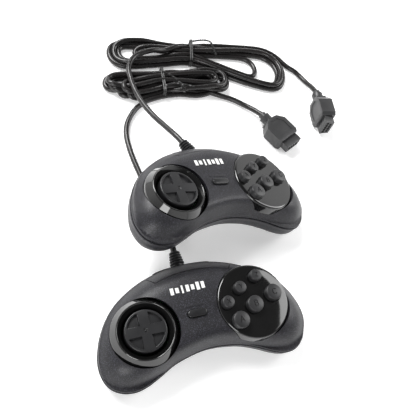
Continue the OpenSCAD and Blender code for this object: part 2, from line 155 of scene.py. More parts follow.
def temp(shape):
    v, f = shape
    me = bpy.data.meshes.new("temp")
    me.from_pydata(np.asarray(v, float).tolist(), [], [list(x) for x in f])
    bm = bmesh.new()
    bm.from_mesh(me)
    bmesh.ops.remove_doubles(bm, verts=bm.verts, dist=1e-4)
    bmesh.ops.recalc_face_normals(bm, faces=bm.faces)
    bm.to_mesh(me)
    bm.free()
    ob = bpy.data.objects.new("temp", me)
    bpy.context.scene.collection.objects.link(ob)
    return ob


def carve(shape, steps):
    """shape with each (operation, other shape) applied in turn."""
    base = temp(shape)
    others = []
    for op, other in steps:
        o = temp(other)
        others.append(o)
        mod = base.modifiers.new("b", "BOOLEAN")
        mod.operation = op
        mod.object = o
        mod.solver = "MANIFOLD"
    bpy.context.view_layer.update()
    me = bpy.data.meshes.new_from_object(base.evaluated_get(bpy.context.evaluated_depsgraph_get()))
    v = np.zeros(len(me.vertices) * 3)
    me.vertices.foreach_get("co", v)
    faces = [tuple(p.vertices) for p in me.polygons]
    for o in [base, *others]:
        bpy.data.objects.remove(o)
    return v.reshape(-1, 3), faces


def joined(*shapes):
    pts, faces, n = [], [], 0
    for v, f in shapes:
        pts.append(np.asarray(v, float))
        faces += [tuple(i + n for i in x) for x in f]
        n += len(v)
    return np.concatenate(pts), faces


# ---------------------------------------------------------------- materials
def material(name, base, rough, metal=0.0, spec=0.5, coat=0.0, coat_rough=0.05, grain=0.0, grain_scale=900.0,
             tint=None, tint_scale=60.0, rough_vary=0.06, glint_speck=None, wave=0.0, wave_scale=8.0):
    """A node material in object space: tint is a second colour mixed in by soft noise, grain a fine bump,
    the optional sparkle (colour, scale, threshold) sparse lighter dots painted into the colour as painted glints, wave
    a broad faint unevenness."""
    m = bpy.data.materials.new(name)
    m.use_nodes = True
    nt = m.node_tree
    b = nt.nodes["Principled BSDF"]
    b.inputs["Metallic"].default_value = metal
    b.inputs["Specular IOR Level"].default_value = spec
    b.inputs["Coat Weight"].default_value = coat
    b.inputs["Coat Roughness"].default_value = coat_rough
    co = nt.nodes.new("ShaderNodeTexCoord").outputs["Object"]

    def noise(scale, detail=3.0):
        n = nt.nodes.new("ShaderNodeTexNoise")
        n.inputs["Scale"].default_value = scale
        n.inputs["Detail"].default_value = detail
        nt.links.new(co, n.inputs["Vector"])
        return n.outputs["Fac"]

    soft = noise(tint_scale)
    mix = nt.nodes.new("ShaderNodeMix")
    mix.data_type = "RGBA"
    mix.inputs[6].default_value = (*base, 1)
    mix.inputs[7].default_value = (*(tint or [min(1, c * 1.35) for c in base]), 1)
    ramp = nt.nodes.new("ShaderNodeMapRange")
    ramp.inputs["From Min"].default_value, ramp.inputs["From Max"].default_value = 0.35, 0.7
    nt.links.new(soft, ramp.inputs["Value"])
    nt.links.new(ramp.outputs["Result"], mix.inputs["Factor"])
    colour = mix.outputs[2]
    # Painted glints: sparse lighter dots mixed into the base colour stand for the sparkle of light on the grained
    # plastic.
    if glint_speck:
        glint_mask = nt.nodes.new("ShaderNodeMapRange")
        glint_mask.inputs["From Min"].default_value, glint_mask.inputs["From Max"].default_value = glint_speck[2], glint_speck[2] + 0.06
        nt.links.new(noise(glint_speck[1], 1.0), glint_mask.inputs["Value"])
        mix2 = nt.nodes.new("ShaderNodeMix")
        mix2.data_type = "RGBA"
        mix2.inputs[7].default_value = (*glint_speck[0], 1)
        nt.links.new(glint_mask.outputs["Result"], mix2.inputs["Factor"])
        nt.links.new(colour, mix2.inputs[6])
        colour = mix2.outputs[2]
    nt.links.new(colour, b.inputs["Base Color"])
    rr = nt.nodes.new("ShaderNodeMapRange")
    rr.inputs["To Min"].default_value = max(0.01, rough - rough_vary)
    rr.inputs["To Max"].default_value = rough + rough_vary
    nt.links.new(noise(tint_scale * 2.3), rr.inputs["Value"])
    nt.links.new(rr.outputs["Result"], b.inputs["Roughness"])
    normal = None
    for height, scale, strength in ((wave, wave_scale, 1.0), (grain, grain_scale, 0.6)):
        if height:
            bump = nt.nodes.new("ShaderNodeBump")
            bump.inputs["Strength"].default_value = strength
            bump.inputs["Distance"].default_value = height * MM
            nt.links.new(noise(scale, 2.0), bump.inputs["Height"])
            if normal:
                nt.links.new(normal, bump.inputs["Normal"])
            normal = bump.outputs["Normal"]
    if normal:
        nt.links.new(normal, b.inputs["Normal"])
    return m


M = {
    # The shell's lighter dots are painted glints, the sparkle of light painted into its colour.
    "shell": material("shell", (0.0125, 0.0122, 0.0142), 0.4, tint=(0.017, 0.0165, 0.019), grain=0.06, grain_scale=1400,
                      glint_speck=((0.05, 0.05, 0.062), 2100, 0.57), spec=0.36),
    "gloss": material("gloss_black", (0.004, 0.004, 0.004), 0.06, tint=(0.006, 0.006, 0.006), rough_vary=0.025,
                      coat=0.5, coat_rough=0.03, wave=0.04, wave_scale=60),
    "keys": material("keys", (0.018, 0.018, 0.019), 0.38, grain=0.03, grain_scale=1800, rough_vary=0.08, spec=0.45),
    "disc": material("disc", (0.013, 0.013, 0.014), 0.34, grain=0.02, grain_scale=1800, rough_vary=0.08, spec=0.45),
    "start": material("start", (0.01, 0.01, 0.011), 0.3, grain=0.02, grain_scale=1500),
    "boot": material("boot", (0.012, 0.012, 0.013), 0.36, grain=0.03, grain_scale=1200),
    "cord": material("cord", (0.008, 0.0075, 0.0075), 0.27, tint=(0.014, 0.012, 0.012), rough_vary=0.06, wave=0.08,
                     wave_scale=160, coat=0.15, coat_rough=0.15, spec=0.4),
    "tie": material("tie", (0.008, 0.008, 0.008), 0.3, grain=0.05, grain_scale=900),
    "plug": material("plug", (0.03, 0.03, 0.031), 0.36, grain=0.04, grain_scale=1400, rough_vary=0.08),
    "print": material("print", (0.86, 0.86, 0.84), 0.45, tint=(0.8, 0.8, 0.79), grain=0.02),
    "membrane": material("membrane", (0.03, 0.03, 0.03), 0.6, grain=0.05),
    "board": material("board", (0.03, 0.14, 0.05), 0.4, tint=(0.02, 0.1, 0.035), tint_scale=300),
    "parts": material("parts", (0.02, 0.02, 0.02), 0.5, grain=0.05),
    "screw": material("screw", (0.55, 0.55, 0.56), 0.35, metal=1.0, tint=(0.42, 0.42, 0.44), tint_scale=600),
    # hole: near-black, nearly unshiny colour for the pellets in the plug face; it is painted shade standing for the
    # dark socket openings.
    "hole": material("hole", (0.002, 0.002, 0.002), 0.7, grain=0.02, spec=0.05),
    "contact": material("contact", (0.75, 0.6, 0.32), 0.25, metal=1.0, tint=(0.6, 0.48, 0.26), tint_scale=500),
}

# ---------------------------------------------------------------- leads and bundles
LEAD_D = 4.2
LOW = LEAD_D / 2 + 0.05
# Points of each lead's route in millimetres: the head from its pad's boot to its bundle, the tail from the bundle to
# its plug
B_LEAD = [(-4.5, 50.4, 10.4), (-4.6, 58, 10.1), (-5.4, 68, 7.5), (-7, 80, 4), (-8.8, 93, LOW), (-10.6, 108, LOW),
          (-13, 122, LOW), (-15, 137, LOW), (-15.3, 152, LOW), (-12.5, 163.5, LOW), (-6, 173.5, LOW),
          (2, 180.5, LOW), (15, 187.2, LOW)]
B_TAIL = [(58, 187.6, LOW), (69, 182.4, LOW), (79, 177, LOW), (87, 170, 2.7), (93, 162.6, 4.6), (97, 156.5, 6.1)]
A_LEAD = [(18.32, 126.83, 24.87), (15.8, 133, 24), (11, 145, 20.3), (6, 157, 16.8), (1.2, 171, 14),
          (-1.8, 185, 12), (-3, 198, 11.2), (-2.2, 211, 11.2), (4.5, 221.5, 11.1), (16, 226.5, 11), (29, 228.5, 10.8)]
A_TAIL = [(138.5, 207, LOW), (144, 203, LOW), (148.5, 195, LOW), (150.8, 186, 4), (151.5, 178, 7.6),
          (151.5, 170.5, 10.4)]


def smooth_line(p, step=2.3):
    """Catmull-Rom through p, with points about step apart."""
    p = np.asarray(p, float)
    q = np.vstack([2 * p[0] - p[1], p, 2 * p[-1] - p[-2]])
    out = []
    for i in range(len(p) - 1):
        a, b, c, d = q[i], q[i + 1], q[i + 2], q[i + 3]
        for t in np.linspace(0, 1, 24, endpoint=False):
            out.append(0.5 * (2 * b + (c - a) * t + (2 * a - 5 * b + 4 * c - d) * t * t
                              + (3 * b - a - 3 * c + d) * t ** 3))
    out = np.array(out + [p[-1]])
    along = np.concatenate([[0], np.cumsum(np.linalg.norm(np.diff(out, axis=0), axis=1))])
    at = np.linspace(0, along[-1], max(2, round(along[-1] / step) + 1))
    return np.stack([np.interp(at, along, out[:, k]) for k in range(3)], 1)


def fold(x, y, r, z, side, way):
    """Points round one end of a bundle: side is +1 for the right end, way +1 for anticlockwise from above."""
    a = [-80, -50, -20, 10, 40, 70] if way > 0 else [80, 50, 20, -10, -40, -70]
    if side < 0:
        a = [180 + t for t in a]
    return [(x + r * math.cos(math.radians(t)), y + r * math.sin(math.radians(t)), z) for t in a]


def b_turns():
    """Right folds, back runs, left folds, front runs. Each fold is (x, y, radius, height), each run (y, height)."""
    far = ((67.5, 195.6, 9.8, 2.2), (65.5, 195.8, 5.4, 2.2), (70.5, 194.2, 8, 6.4), (60.5, 197.6, 7.2, 6.4),
           (68.5, 195.2, 8.8, 10.6), (63, 196.4, 6.2, 10.6))
    back_run = ((207.4, 2.2), (203, 2.2), (205.2, 6.4), (200.8, 6.4), (206.2, 10.6), (201.9, 10.6))
    near = ((-15.8, 203.9, 7.6, 2.2), (-7, 194.5, 6.2, 2.2), (-13.5, 201.5, 7.4, 6.4), (-3.5, 191.6, 4.8, 6.4),
            (-14, 202.6, 7.5, 10.6), (-6, 193.6, 5.6, 10.6))
    front_run = ((198.6, 2.2), (194.3, 2.2), (196.4, 6.4), (192.2, 6.4), (197.5, 10.6), (193.2, 10.6))
    pts = [(24, 188.8, 2.2), (45, 187.6, 2.2)]
    for k in range(6):
        f, b, n, r = far[k], back_run[k], near[k], front_run[k]
        pts += fold(*f, 1, 1)
        pts += [(46, b[0] + 0.45 * (f[1] + f[2] - b[0]), (f[3] + b[1]) / 2), (24, *b),
                (6, b[0] + 0.5 * (n[1] + n[2] - b[0]), (b[1] + n[3]) / 2)]
        pts += fold(*n, -1, 1)
        pts += [(8, r[0] + 0.5 * (n[1] - n[2] - r[0]), (n[3] + r[1]) / 2), (24, *r)]
        if k < 5:
            g = far[k + 1]
            pts += [(45, r[0] + 0.5 * (g[1] - g[2] - r[0]), (r[1] + g[3]) / 2)]
    return pts + [(42, 189.5, 6)]


def a_turns():
    far = ((111.5, 204.5, 22.5, 2.2), (111.5, 204.5, 18.1, 2.2), (97, 209, 12.5, 6.4), (110.5, 204, 20.8, 6.4))
    front_run = ((219.3, 2.2), (223.7, 2.2), (225.7, 6.4), (221.3, 6.4))
    near = ((-0.5, 233, 13.6, 2.2), (1.5, 233.2, 9.2, 2.2), (13, 232.5, 6.6, 6.4), (2, 234, 12, 6.4))
    back_run = ((232.3, 2.2), (227.9, 2.2), (230, 6.4), (236.8, 2.2))
    pts = [(42, 232.3, 9.4), (54, 234.3, 6.6), (80, 231.9, 2.8)]
    for k in range(4):
        f, b, n, r = far[k], back_run[k], near[k], front_run[k]
        pts += fold(*f, 1, -1)
        pts += [(78, r[0] + 0.42 * (f[1] - f[2] - r[0]), (f[3] + r[1]) / 2), (54, *r),
                (28, r[0] + 0.5 * (n[1] - n[2] - r[0]), (r[1] + n[3]) / 2)]
        pts += fold(*n, -1, -1)
        pts += [(30, b[0] + 0.5 * (n[1] + n[2] - b[0]), n[3]),
                (42, b[0] + 0.2 * (n[1] + n[2] - b[0]), (n[3] + b[1]) / 2),
                (54, *b)]
        if k < 3:
            g = far[k + 1]
            pts += [(80, b[0] + 0.45 * (g[1] + g[2] - b[0]), (b[1] + g[3]) / 2)]
    return pts + [(80, 235.6, LOW), (96, 233.4, LOW), (112, 231.2, LOW), (124, 228, LOW), (132.5, 221, LOW),
                  (136.5, 214, LOW)]


def lines():
    """The two leads' middles, the bundled stretches settled so that the turns lie beside and on each other."""
    parts, held = [], []
    for head, mid, tail in ((B_LEAD, b_turns(), B_TAIL), (A_LEAD, a_turns(), A_TAIL)):
        whole = smooth_line([*head, *mid, *tail])
        first = len(smooth_line(head)) - 3
        last = len(smooth_line(tail)) - 3
        fixed = np.zeros(len(whole), bool)
        fixed[:first] = True
        fixed[len(whole) - last:] = True
        parts.append(whole)
        held.append(fixed)
    p = np.concatenate(parts)
    fixed = np.concatenate(held)
    cord = np.concatenate([np.full(len(x), i) for i, x in enumerate(parts)])
    home = p.copy()
    n = len(p)
    gap = np.linalg.norm(np.diff(p, axis=0), axis=1)
    link = cord[1:] == cord[:-1]
    free = ~fixed
    pairs = None
    for step in range(150):
        if step % 6 == 0:
            d2 = ((p[:, None, :] - p[None]) ** 2).sum(2)
            i, j = np.nonzero(np.triu(d2 < 49, 1))
            keep = (cord[i] != cord[j]) | (j - i > 4)
            pairs = (i[keep], j[keep])
        p[free, 2] -= 0.06
        p[free, :2] += 0.05 * (home[free, :2] - p[free, :2])
        mid = (p[:-2] + p[2:]) / 2 - p[1:-1]
        inner = link[:-1] & link[1:] & free[1:-1]
        p[1:-1][inner] += 0.3 * mid[inner]
        for _ in range(2):
            d = p[1:] - p[:-1]
            l = np.linalg.norm(d, axis=1)
            c = (0.5 * 0.7 * (l - gap) / np.maximum(l, 1e-6))[:, None] * d
            c[~link] = 0
            p[:-1][free[:-1]] += c[free[:-1]]
            p[1:][free[1:]] -= c[free[1:]]
        i, j = pairs
        d = p[j] - p[i]
        l = np.linalg.norm(d, axis=1)
        near = l < LEAD_D
        i, j, d, l = i[near], j[near], d[near], l[near]
        c = (0.42 * (LEAD_D - l) / np.maximum(l, 1e-3))[:, None] * d
        both = np.where(fixed[i] | fixed[j], 1.6, 1.0)[:, None] * 0.6
        push = np.zeros_like(p)
        np.add.at(push, i, -c * both)
        np.add.at(push, j, c * both)
        size = np.linalg.norm(push, axis=1, keepdims=True)
        push *= np.minimum(1, 0.8 / np.maximum(size, 1e-9))
        p[free] += push[free]
        p[:, 2] = np.maximum(p[:, 2], LEAD_D / 2)
        p[fixed] = home[fixed]
    for _ in range(6):
        mid = (p[:-2] + p[2:]) / 2 - p[1:-1]
        inner = link[:-1] & link[1:] & free[1:-1]
        p[1:-1][inner] += 0.4 * mid[inner]
    return [p[cord == i] for i in (0, 1)]


def dense(p, step):
    return smooth_line(p[::2] if len(p) % 2 else np.vstack([p[::2], p[-1:]]), step)


def curve(name, p, d, mat, body, replaces=()):
    cu = bpy.data.curves.new(name, "CURVE")
    cu.dimensions = "3D"
    sp = cu.splines.new("POLY")
    sp.points.add(len(p) - 1)
    for q, (x, y, z) in zip(sp.points, np.asarray(p) * MM):
        q.co = (x, y, z, 1)
    cu.bevel_depth = d / 2 * MM
    cu.bevel_resolution = 5
    cu.use_fill_caps = True
    sp.use_smooth = True
    ob = bpy.data.objects.new(name, cu)
    bpy.context.scene.collection.objects.link(ob)
    cu.materials.append(mat)
    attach(ob, body)
    if replaces:
        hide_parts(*replaces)
    return ob


cord_lines = lines()
for k, p in zip("ba", cord_lines):
    p = dense(p, 1.6)
    curve(f"{k}_cord", p, LEAD_D, M["cord"], ROOT[k], (f"{k}_lead", f"{k}_hank", f"{k}_tail"))


def tube(p, r, n=10):
    p = np.asarray(p, float)
    t = np.gradient(p, axis=0)
    t /= np.linalg.norm(t, axis=1, keepdims=True)
    ref = np.array([0.0, 0.0, 1.0])
    rings = []
    for q, d in zip(p, t):
        s = np.cross(d, ref)
        if np.linalg.norm(s) < 1e-3:
            s = np.array([1.0, 0, 0])
        s /= np.linalg.norm(s)
        u = np.cross(s, d)
        ref = u
        a = np.arange(n) * 2 * math.pi / n
        rings.append(q + r * (np.cos(a)[:, None] * s + np.sin(a)[:, None] * u))
    return loft(rings)


def tie(k, c, turn, w, h, tails):
    """A thin wire tie: two turns round the bundle and its twisted ends lying on the cords."""
    m = Matrix.Translation((c[0], c[1], 0)) @ Matrix.Rotation(math.radians(turn), 4, "Z")
    loops = []
    for dx in (-0.7, 0.7):
        y, z, rr = w / 2, h, 2.2
        pts = []
        for cx, cz, a0 in ((y - rr, z - rr, 0), (-y + rr, z - rr, 90), (-y + rr, 0.75 + rr, 180),
                           (y - rr, 0.75 + rr, 270)):
            for a in range(a0, a0 + 91, 15):
                pts.append((dx, cx + rr * math.cos(math.radians(a)), cz + rr * math.sin(math.radians(a))))
        pts.append(pts[0])
        loops.append(tube(smooth_line(moved(pts, m), 1.2), 0.6, 8))
    for t in tails:
        q = smooth_line(t, 0.8)
        s = np.arange(len(q)) * 0.8
        side = np.gradient(q, axis=0)
        side = np.stack([-side[:, 1], side[:, 0], np.zeros(len(q))], 1)
        side /= np.linalg.norm(side, axis=1, keepdims=True)
        for ph in (0, math.pi):
            w1 = 0.5 * np.sin(s * 1.5 + ph)[:, None] * side
            w1[:, 2] = 0.5 * np.cos(s * 1.5 + ph)
            loops.append(tube(q + w1, 0.45, 7))
    return put(f"{k}_wire_tie", *joined(*loops), M["tie"], ROOT[k], "tie", (f"{k}_tie",))


ties = {
    "b": tie("b", (23.5, 198.5), -6, 24.5, 10.2,
             [[(22, 190, 10.6), (30, 192, 10.8), (38, 190.5, 10.4), (47, 188, 9.6)],
              [(24, 205, 10.6), (31, 199, 10.8), (37, 190, 10.4), (39, 185.5, 8)]]),
    "a": tie("a", (54.5, 227), -13, 23, 10.2,
             [[(56, 235, 10.6), (66, 236, 10.4), (73, 234, 10.2), (74.5, 226, 9.6), (75, 219, 8)]]),
}

# ---------------------------------------------------------------- pad shapes
HALF = [(0, 38), (15, 37), (28, 33.8), (40, 28.5), (50, 21.5), (58, 12), (63.8, 0), (66.3, -13), (63.5, -24),
        (57, -29.8), (49, -30.8), (41, -28.3), (32, -23.8), (22, -19), (11, -16.5), (0, -15.5)]
CTRL = np.array(HALF + [(-x, y) for x, y in HALF[14:0:-1]], float)
# The front edge reaches a little further forward than the plain half outline, most of all left of the middle.
for i, (dx, dy) in {4: (0.8, 0.8), 5: (1.5, 1.2), 6: (1.8, 1.2), 7: (1.5, 0.8), 13: (0, -0.9), 14: (0, -1.3),
                    15: (0, -1.8),
                    16: (0, -2.4), 17: (0, -2.9), 18: (0, -2.9), 19: (0, -2.2), 20: (0, -1)}.items():
    CTRL[i] += (dx, dy)


def outline(per):
    out = []
    n = len(CTRL)
    for i in range(n):
        a, b, c, d = (CTRL[(i + j) % n] for j in (-1, 0, 1, 2))
        for t in np.arange(per) / per:
            out.append(0.5 * (2 * b + (c - a) * t + (2 * a - 5 * b + 4 * c - d) * t * t
                              + (3 * b - a - 3 * c + d) * t ** 3))
    return np.array(out)


COARSE, FINE = outline(3), outline(12)


def inset(d, rim=FINE):
    t = np.roll(rim, -1, 0) - np.roll(rim, 1, 0)
    t /= np.linalg.norm(t, axis=1, keepdims=True)
    return rim + d * np.stack([t[:, 1], -t[:, 0]], 1)


def skin_z(p):
    p = np.atleast_2d(np.asarray(p, float))
    d = np.linalg.norm(p[:, None] - FINE[None], axis=2)
    d = np.maximum(0, -3.5 * np.log(np.exp(-d / 3.5).sum(1) / 4) + 2.3)
    # the wall is steep along the waist and rounder at the two grips and along the back
    waist = np.exp(-(p[:, 0] / 48) ** 4) / (1 + np.exp((p[:, 1] + 2) / 3))
    return 14.6 + 13.4 * (1 - np.exp(-d / (4.2 - 3.0 * waist))) - 1.8 * (p[:, 0] / 66) ** 2 * (1 - np.exp(-d / 4))


def flat(p, z):
    return np.c_[p, np.full(len(p), z)]


def skin_ring(rim, s, drop=0.0):
    p = np.array([0, 8.0]) + s * (rim - np.array([0, 8.0]))
    return np.c_[p, skin_z(p) - drop]


def peaked(rings, peak):
    v, f = loft(rings, cap=(True, False))
    n, m = len(rings[0]), len(rings)
    v = np.vstack([v, peak])
    f += [((m - 1) * n + i, (m - 1) * n + (i + 1) % n, m * n) for i in range(n)]
    return v, f


SHARES = [0.992, 0.984, 0.975, 0.965, 0.953, 0.94, 0.925, 0.91, 0.893, 0.876, 0.858, 0.838, 0.817, 0.795, 0.77,
          0.745, 0.715, 0.685, 0.65, 0.615, 0.575, 0.535, 0.49, 0.44, 0.39, 0.335, 0.28, 0.22, 0.16, 0.1, 0.05]
peak = [0, 8, skin_z([0, 8])[0]]
OUTER = peaked([flat(inset(0.75), 12.55), flat(inset(0.4), 12.62), flat(inset(0.12), 12.95), flat(inset(0), 13.8),
                flat(inset(0.06), 14.3), flat(inset(0.25), 14.62)] + [skin_ring(FINE, s) for s in SHARES], peak)
INNER = peaked([flat(inset(2.2, COARSE), 11.5), flat(inset(2.2, COARSE), 14)]
               + [skin_ring(inset(2.2, COARSE), s, 2.2) for s in (0.96, 0.88, 0.78, 0.65, 0.45, 0.2)],
               [0, 8, peak[2] - 2.2])
PAD = (-37.0, -1.6)
PLATE = Matrix.Translation((33.8, 2.8, 26.5)) @ Matrix.Rotation(math.radians(5.7), 4, "Y")
START = (-4.2, 2.2)
START_TOP = skin_z(START)[0] + 1.6


def on_plate(shape):
    return moved(shape[0], PLATE), shape[1]


def shifted(shape, x, y, z=0.0):
    return np.asarray(shape[0], float) + [x, y, z], shape[1]


def band(d0, d1, z0, z1, x0, x1):
    rim = FINE
    use = [i for i in range(len(rim)) if x0 <= rim[i][0] <= x1 and rim[i][1] > 20]
    use.sort(key=lambda i: rim[i][0])
    a, b = inset(d0)[use], inset(d1)[use]
    return prism(np.vstack([a, b[::-1]]), z0, z1)


def stadium(l, w, n=20):
    a = np.radians(np.linspace(-90, 90, n))
    c = (l - w) / 2
    e = np.stack([c + w / 2 * np.cos(a), w / 2 * np.sin(a)], 1)
    return np.vstack([e, -e])


def panel(g):
    return prism([(-31 + g, 46), (-28.6 + g, 32.8), (-24.6 + g, 27 + g), (-12, 30.3 + g), (0, 31.2 + g),
                  (12, 30.3 + g), (24.6 - g, 27 + g), (28.6 - g, 32.8), (31 - g, 46)], 12, 45)


def bezel_hole(g):
    return rod(20.8 + g, 15.8, 37.8, PAD, 160)


def plate_hole(g):
    return on_plate(rod(24.2 + g, -7.3, 12.7, (0, 0), 160))


SLOT = prism(stadium(12.9, 5.1) + START, 15, 40)
top = carve(OUTER, [("DIFFERENCE", x) for x in (
    INNER, bezel_hole(0.25), plate_hole(0.25), band(-3, 3.4, 5.3, 15.7, -24.3, 18.3), panel(-0.2), SLOT)])
cover = carve(OUTER, [("DIFFERENCE", INNER), ("INTERSECT", panel(0.2)),
                      ("DIFFERENCE", band(-3, 3.4, 5.3, 15.7, -24.3, 18.3))])

POSTS = [(-56, -21), (56, -21), (-15, 24.5), (13, 24.5), (0, -7.5)]
under = [flat(inset(d), z) for d, z in (
    (6.5, 0), (5.4, 0.06), (4.4, 0.25), (3.4, 0.6), (2.5, 1.15), (1.8, 1.9), (1.2, 2.8), (0.75, 3.9), (0.4, 5.2),
    (0.15, 7), (0.02, 9), (-0.1, 10.3), (-0.35, 11.2), (-0.45, 11.7), (-0.4, 12.1), (-0.15, 12.35), (0.3, 12.42),
    (0.8, 12.42))]
hollow = loft([flat(inset(d, COARSE), z) for d, z in ((7.5, 2.2), (3.8, 3.2), (2.2, 7.5), (2.2, 13.5))])
steps = [("DIFFERENCE", hollow), ("DIFFERENCE", band(-3, 3.4, 5.3, 15.7, -24.3, 18.3))]
for q in POSTS:
    steps += [("UNION", rod(4.3, 1, 12.4, q)), ("DIFFERENCE", rod(2.9, -1, 4.2, q)), ("DIFFERENCE", rod(1.6, 4, 13, q))]
steps += [("UNION", rod(5, 1.5, 13.4, PAD))]
steps += [("UNION", shifted(block(s * 3.9 - 0.7, -1.8, 12.9, s * 3.9 + 0.7, 1.8, 18.5), *PAD)) for s in (-1, 1)]
bottom = carve(loft(under), steps)

bezel = shifted(lathe([
    (20.8, 15.8), (20.8, 23.6), (20.72, 24.0), (20.5, 24.35), (18.1, 28.0), (17.9, 28.35), (17.7, 28.68),
    (17.5, 28.95), (17.25, 29.08), (17.0, 29.05),
    (16.75, 28.85), (16.5, 28.5), (15.9, 27.8), (15.2, 26.98), (14.6, 26.35), (14.35, 26.05), (14.22, 25.6),
    (14.2, 24.8), (14.2, 19.6), (15.6, 19.6), (15.6, 24), (16.6, 25), (19.2, 21), (19.2, 15.8)], 192, True), *PAD)

BUTTONS = [(-13.2, -11), (-0.9, -3), (13.9, 2.2), (-18.4, 1.2), (-7.7, 9.1), (5.1, 15.1)]
BIG, SMALL = 5.35, 3.95
plate = lathe([(0, 0), (8, 0), (16, 0), (22.3, 0), (22.8, -0.04), (23.3, -0.18), (23.7, -0.42), (23.95, -0.75),
               (24.12, -1.15), (24.2, -1.6), (24.2, -7.3), (22.9, -7.3), (22.9, -2.4), (0, -2.4)], 192)
plate = on_plate(carve(plate, [("DIFFERENCE", rod((BIG if i < 3 else SMALL) + 0.3, -6, 3, q, 72))
                               for i, q in enumerate(BUTTONS)]))

GLYPHS = [
    [[(-1.3, -1.7), (0, 1.7), (1.3, -1.7)], [(-0.8, -0.5), (0.8, -0.5)]],
    [[(-1.1, 0.1), (0.7, 0.1), (1.1, -0.4), (1.1, -1.2), (0.6, -1.7), (-1.1, -1.7), (-1.1, 1.7), (0.5, 1.7),
      (0.9, 1.3), (0.9, 0.6), (0.6, 0.1)]],
    [[(1.2, 1.2), (0.6, 1.7), (-0.5, 1.7), (-1.2, 0.9), (-1.2, -0.9), (-0.5, -1.7), (0.6, -1.7), (1.2, -1.2)]],
    [[(-1.3, -1.7), (1.3, 1.7)], [(-1.3, 1.7), (1.3, -1.7)]],
    [[(-1.3, 1.7), (0, 0.1), (1.3, 1.7)], [(0, 0.1), (0, -1.7)]],
    [[(-1.2, 1.7), (1.2, 1.7), (-1.2, -1.7), (1.2, -1.7)]],
]


def glyph(i, scale):
    bars = []
    for line in GLYPHS[i]:
        for a, b in zip(line, line[1:]):
            a, b = Vector(a) * scale, Vector(b) * scale
            d = (b - a).normalized() * 0.26
            s = Vector((-d.y, d.x))
            o = [a - d - s, b + d - s, b + d + s, a - d + s]
            bars.append(prism([tuple(v) for v in o], 3.65, 5.1))
    return bars


def button(i):
    r = BIG if i < 3 else SMALL
    dome = lambda x: 4.3 - 22 + math.sqrt(22 ** 2 - x * x)
    rim = dome(r - 0.7)
    prof = [(0, dome(0))] + [(r * t, dome(r * t)) for t in (0.2, 0.4, 0.6, 0.75)]
    prof += [(r - 0.7, rim), (r - 0.45, rim - 0.08), (r - 0.22, rim - 0.24), (r - 0.07, rim - 0.5), (r, rim - 0.85),
             (r + 0.0, -2.7), (r + 0.6, -2.7), (r + 0.6, -3.9), (0, -3.9)]
    shape = carve(lathe(prof, 72), [("DIFFERENCE", g) for g in glyph(i, 1 if i < 3 else 0.78)])
    return on_plate(shifted(shape, *BUTTONS[i]))


def disc():
    """The rocking disc: a raised cross with four sunken quadrants, and a dimple with a small ball in it."""
    rad = np.concatenate([np.linspace(0.15, 3, 14), np.linspace(3.2, 11.2, 44), np.linspace(11.3, 12.1, 9)])
    n = 256
    ang = np.arange(n) * 2 * math.pi / n
    smooth = lambda x: np.clip(x, 0, 1) ** 2 * (3 - 2 * np.clip(x, 0, 1))
    rings = []
    for r in rad:
        x, y = r * np.cos(ang), r * np.sin(ang)
        arm = 2.9 + 0.10 * np.maximum(np.abs(x), np.abs(y)) / 4
        inside = np.minimum(np.abs(x), np.abs(y)) - arm
        sink = 1.7 * smooth(inside / 0.4) * smooth((11.35 - r) / 0.5)
        slope = 0.35 * (r / 12.8) ** 2
        hollow_ = np.sqrt(np.maximum(0, 1.7 ** 2 - r * r))
        z = 12.55 - slope - sink - (np.maximum(0, hollow_ - 0.85) if r < 1.7 else 0)
        rings.append(np.stack([x, y, z], 1))
    ring = lambda r, z: np.stack([r * np.cos(ang), r * np.sin(ang), np.full(n, z)], 1)
    for r, z in ((12.35, 12.12), (12.55, 11.98), (12.7, 11.75), (12.78, 11.45), (12.8, 11.1), (12.8, 7), (12.8, 3.2),
                 (12.6, 3)):
        rings.append(ring(r, z))
    body = loft(rings)
    ball = lathe([(0, 12.35)] + [(0.75 * math.cos(math.radians(t)), 11.6 + 0.75 * math.sin(math.radians(t)))
                                 for t in (60, 40, 20, 0, -20, -40, -60)] + [(0, 10.85)], 24)
    ears = []
    for s in (-1, 1):
        ears.append(carve(block(-1.5, s * 4.1 - 0.7, -1.3, 1.5, s * 4.1 + 0.7, 3.4),
                          [("DIFFERENCE", (rod(0.9, -1, 1, (0, 0), 24)[0][:, [0, 2, 1]] + [0, s * 4.1, 0],
                                           rod(0.9, -1, 1, (0, 0), 24)[1]))]))
    return shifted(joined(body, ball, *ears), PAD[0], PAD[1], 16.9)


def pill_key():
    rings = []
    for l, w, z in ((12.3, 4.5, 19), (12.3, 4.5, START_TOP - 0.9), (12.24, 4.44, START_TOP - 0.55),
                    (12.0, 4.2, START_TOP - 0.25), (11.6, 3.8, START_TOP - 0.08), (10.9, 3.1, START_TOP)):
        rings.append(np.c_[stadium(l, w) + START, np.full(40, z)])
    return loft(rings)


def insert():
    """The glossy bar set into the rear edge, with rounded edges, and a round hole for the boot."""
    use = [i for i in range(len(FINE)) if -24 <= FINE[i][0] <= 18 and FINE[i][1] > 20]
    use.sort(key=lambda i: FINE[i][0])
    outer, normal = FINE[use], (inset(1.0) - FINE)[use]
    sec = [(3.2, 5.5), (-0.2, 5.5), (-0.75, 5.65), (-1.1, 6.05), (-1.2, 6.6), (-1.2, 14.2), (-1.1, 14.85),
           (-0.75, 15.3), (-0.2, 15.5), (3.2, 15.5)]
    rings = []
    last = len(use) - 1
    for j, (p, q) in enumerate(zip(outer, normal)):
        e = min(j, last - j)
        pull = (0.9, 0.35, 0.1)[e] if e < 3 else 0
        rings.append([(*(p + q * min(3.2, d + pull)), z) for d, z in sec])
    hole = rod(4.3, 25, 50, (0, 0), 48)
    hole = (hole[0][:, [0, 2, 1]] + [-4.5, 0, 10.4], hole[1])
    return carve(loft(rings), [("DIFFERENCE", hole)])


